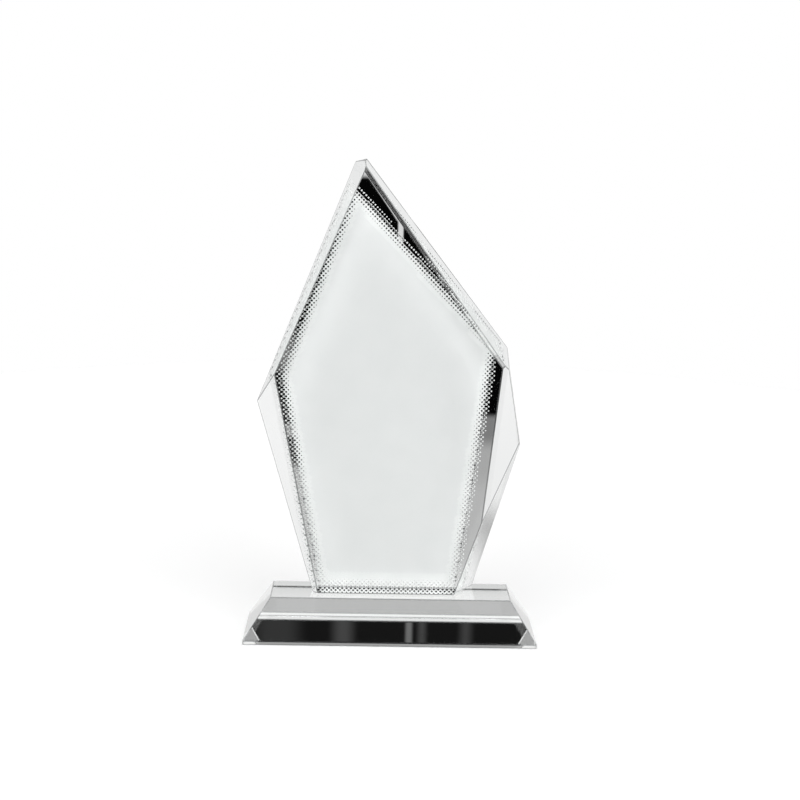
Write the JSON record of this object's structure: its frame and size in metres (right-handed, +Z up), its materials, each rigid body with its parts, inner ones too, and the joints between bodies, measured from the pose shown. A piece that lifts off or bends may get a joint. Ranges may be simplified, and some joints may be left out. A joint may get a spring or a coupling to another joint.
{
  "type": "crystal award",
  "caption": "Clear faceted crystal blade bonded upright on a bevelled crystal plinth, with a white printed panel on its back that fades into a dotted border.",
  "frame": {"origin": "centre of the plinth's underside", "axes": "+Z up, +X to the right of someone facing the award, -Y out of the blade's front face"},
  "size_m": [0.118, 0.032, 0.1916],
  "materials": {
    "blade_crystal": "polished clear optical crystal, index about 1.52",
    "base_crystal": "polished clear optical crystal, index about 1.52",
    "clear_adhesive": "cured clear adhesive",
    "white_print": "satin white coating",
    "halftone_print": "satin white coating in dots"
  },
  "bodies": {
    "root": {"crystal_blade": "blade_crystal", "crystal_base": "base_crystal", "adhesive_bond": "clear_adhesive", "white_print_panel": "white_print", "halftone_border": "halftone_print"}
  },
  "joints": []
}
